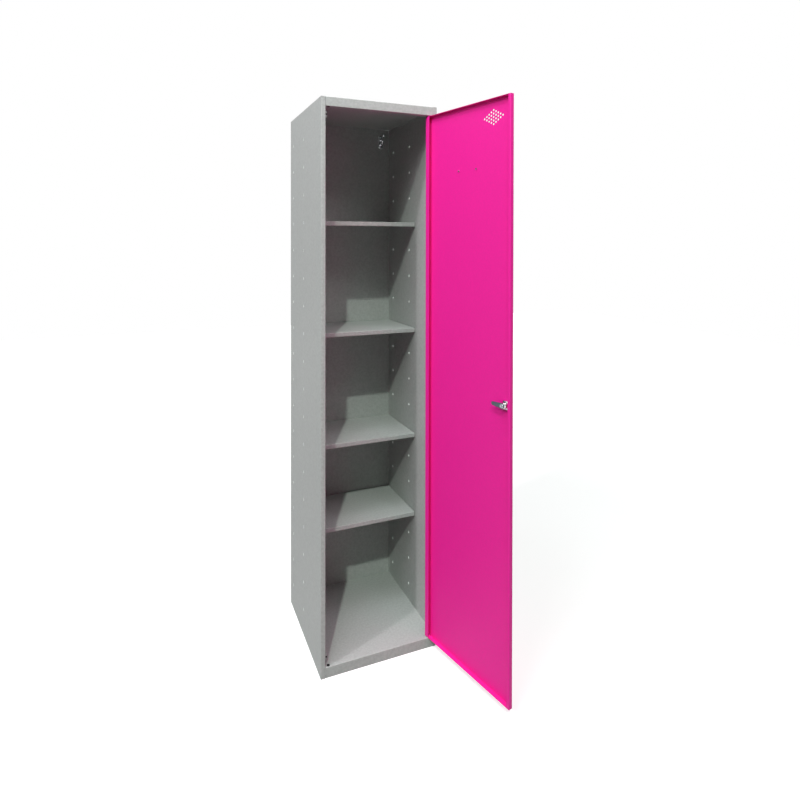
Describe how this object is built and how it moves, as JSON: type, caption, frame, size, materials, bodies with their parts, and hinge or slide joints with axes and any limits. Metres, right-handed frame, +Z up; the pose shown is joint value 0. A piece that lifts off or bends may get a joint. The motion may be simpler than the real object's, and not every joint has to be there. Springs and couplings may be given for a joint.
{
  "type": "broom cupboard",
  "caption": "Tall sheet-steel broom cupboard with a right-hung inset tray door, cam lock, shallow hung shelves and an open full-height bay in front of them.",
  "frame": {"origin": "on the floor, in the middle of the carcass's width and depth", "axes": "+Z up; +Y towards the back panel, the front faces -Y; +X to the right seen from the front"},
  "size_m": [0.4618, 0.7412, 1.8],
  "materials": {
    "side_panel_left": "fine-textured light grey powder coat",
    "side_panel_right": "fine-textured light grey powder coat",
    "back_panel": "fine-textured light grey powder coat",
    "top_panel": "fine-textured light grey powder coat",
    "base_panel": "fine-textured light grey powder coat",
    "pivot_bush_upper": "black moulded nylon",
    "pivot_bush_lower": "black moulded nylon",
    "spare_bush_upper": "black moulded nylon",
    "spare_bush_lower": "black moulded nylon",
    "pivot_washer": "turned brass",
    "door_stops": "fine-textured light grey powder coat",
    "stop_buffers": "moulded black rubber",
    "coat_hook_left": "bright chrome plate",
    "coat_hook_right": "bright chrome plate",
    "coat_hook_screws": "bright chrome plate",
    "shelf_1": "fine-textured light grey powder coat",
    "shelf_clips_1": "zinc-plated pressed steel",
    "shelf_2": "fine-textured light grey powder coat",
    "shelf_clips_2": "zinc-plated pressed steel",
    "shelf_3": "fine-textured light grey powder coat",
    "shelf_clips_3": "zinc-plated pressed steel",
    "shelf_4": "fine-textured light grey powder coat",
    "shelf_clips_4": "zinc-plated pressed steel",
    "door_panel": "bright pink semi-gloss powder coat",
    "hinge_plate_upper": "bright pink powder coat",
    "hinge_plate_lower": "bright pink powder coat",
    "hinge_pin_upper": "zinc-plated steel",
    "hinge_pin_lower": "zinc-plated steel",
    "lock_housing": "bright chrome plate",
    "lock_nut": "bright chrome plate",
    "card_holder": "satin anodised aluminium",
    "card_holder_rivets": "mill-finish aluminium",
    "name_card": "blank white card",
    "lock_plug": "bright chrome plate",
    "lock_cam": "bright chrome plate",
    "cam_washer": "zinc-plated steel",
    "cam_screw": "zinc-plated steel"
  },
  "bodies": {
    "carcass": {"side_panel_left": "side_panel_left", "side_panel_right": "side_panel_right", "back_panel": "back_panel", "top_panel": "top_panel", "base_panel": "base_panel", "pivot_bush_upper": "pivot_bush_upper", "pivot_bush_lower": "pivot_bush_lower", "spare_bush_upper": "spare_bush_upper", "spare_bush_lower": "spare_bush_lower", "pivot_washer": "pivot_washer", "door_stops": "door_stops", "stop_buffers": "stop_buffers", "coat_hook_left": "coat_hook_left", "coat_hook_right": "coat_hook_right", "coat_hook_screws": "coat_hook_screws", "shelf_1": "shelf_1", "shelf_clips_1": "shelf_clips_1", "shelf_2": "shelf_2", "shelf_clips_2": "shelf_clips_2", "shelf_3": "shelf_3", "shelf_clips_3": "shelf_clips_3", "shelf_4": "shelf_4", "shelf_clips_4": "shelf_clips_4"},
    "door": {"door_panel": "door_panel", "hinge_plate_upper": "hinge_plate_upper", "hinge_plate_lower": "hinge_plate_lower", "hinge_pin_upper": "hinge_pin_upper", "hinge_pin_lower": "hinge_pin_lower", "lock_housing": "lock_housing", "lock_nut": "lock_nut", "card_holder": "card_holder", "card_holder_rivets": "card_holder_rivets", "name_card": "name_card"},
    "lock_core": {"lock_plug": "lock_plug", "lock_cam": "lock_cam", "cam_washer": "cam_washer", "cam_screw": "cam_screw"}
  },
  "joints": [
    {"name": "door_hinge", "type": "hinge", "parent": "carcass", "child": "door", "pos_m": [0.17395, -0.193, 0.9], "axis": [0, 0, 1], "range_deg": [-103.2, 8]},
    {"name": "lock_turn", "type": "hinge", "parent": "door", "child": "lock_core", "pos_m": [0.24843, -0.51495, 0.888], "axis": [0.9736, 0.2284, 0], "range_deg": [0, 180]}
  ]
}
